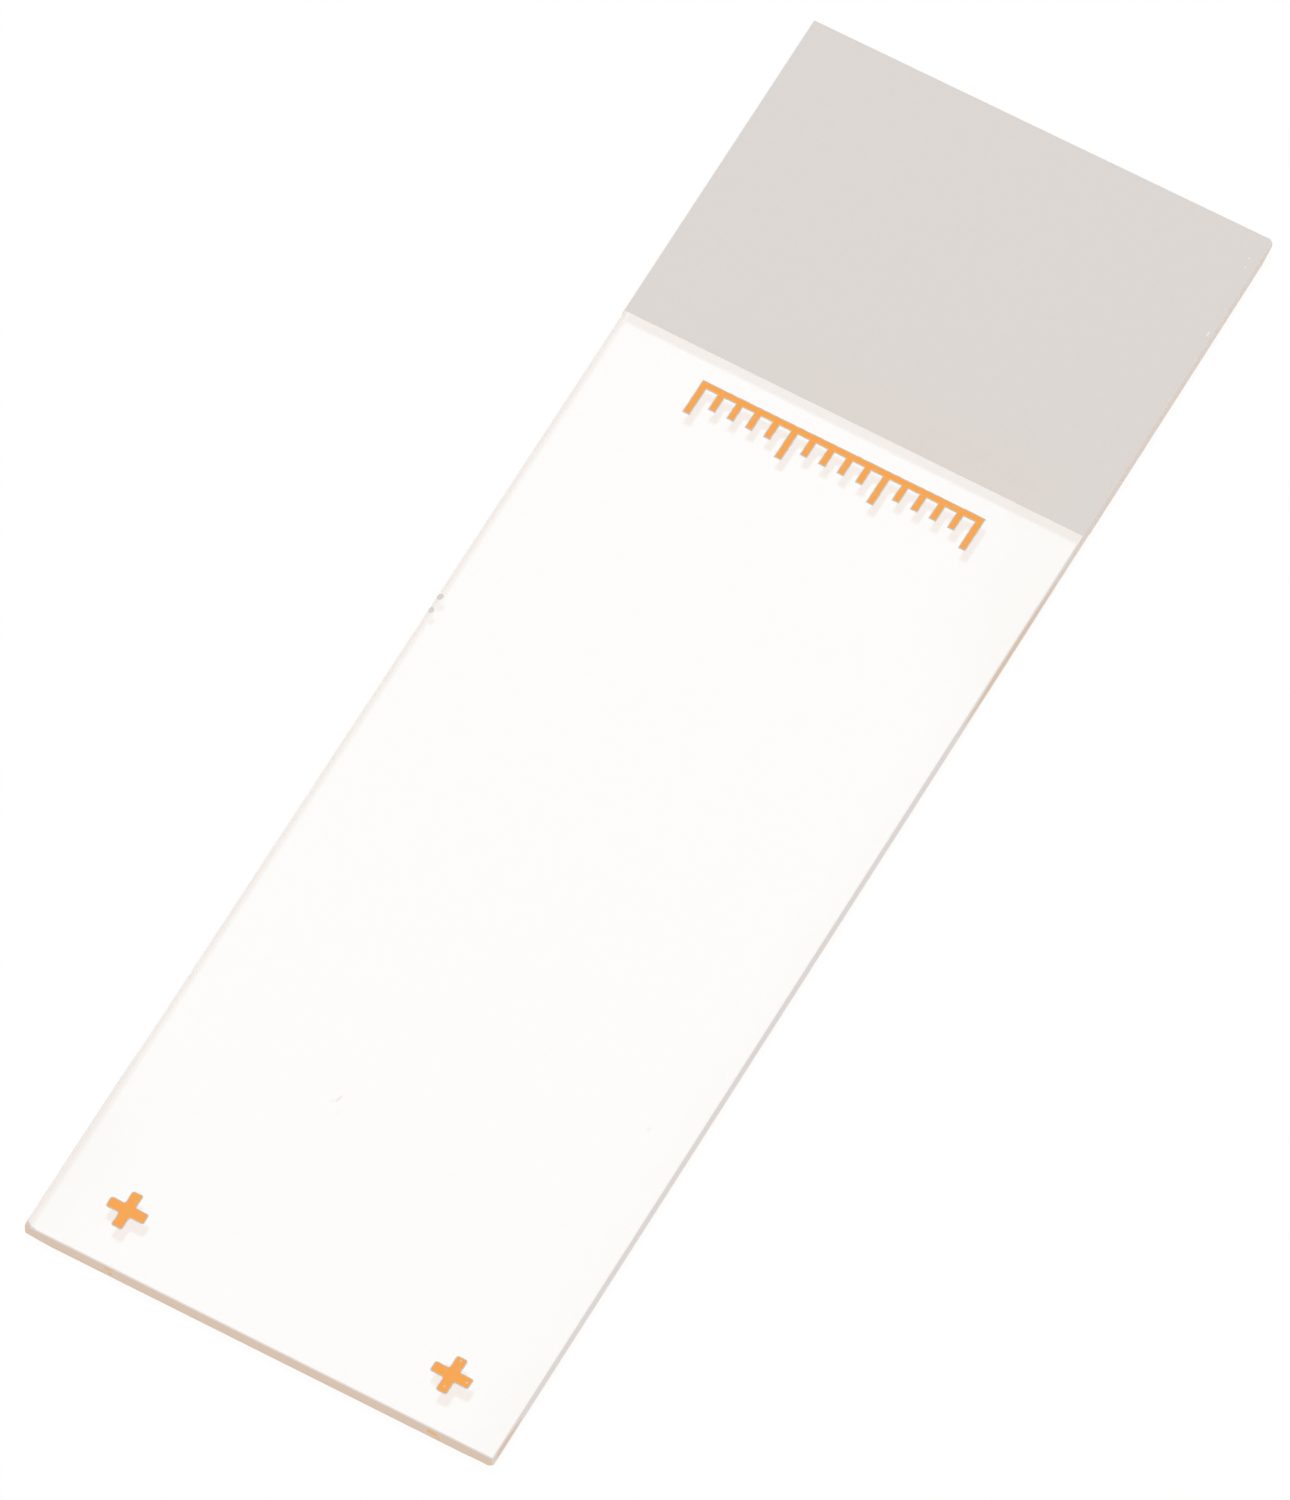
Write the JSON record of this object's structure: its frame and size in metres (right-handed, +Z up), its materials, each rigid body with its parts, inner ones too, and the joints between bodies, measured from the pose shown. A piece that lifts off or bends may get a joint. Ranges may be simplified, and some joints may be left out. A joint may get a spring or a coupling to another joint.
{
  "type": "microscope slide",
  "caption": "Flat glass microscope slide with ground edges, a matt label coat at one end, printed plus marks at the other and a short printed scale.",
  "frame": {"origin": "middle of the underside of the glass", "axes": "+X along the slide towards the label end, +Y towards its left side as seen from the clear end, +Z up through the printed face"},
  "size_m": [0.075, 0.025, 0.001],
  "materials": {
    "clear_glass": "polished",
    "label_coat": "matte",
    "orange_ink": "satin"
  },
  "bodies": {
    "root": {"glass_pane": "clear_glass", "label_coat": "label_coat", "plus_mark_left": "orange_ink", "plus_mark_right": "orange_ink", "scale_print": "orange_ink"}
  },
  "joints": []
}
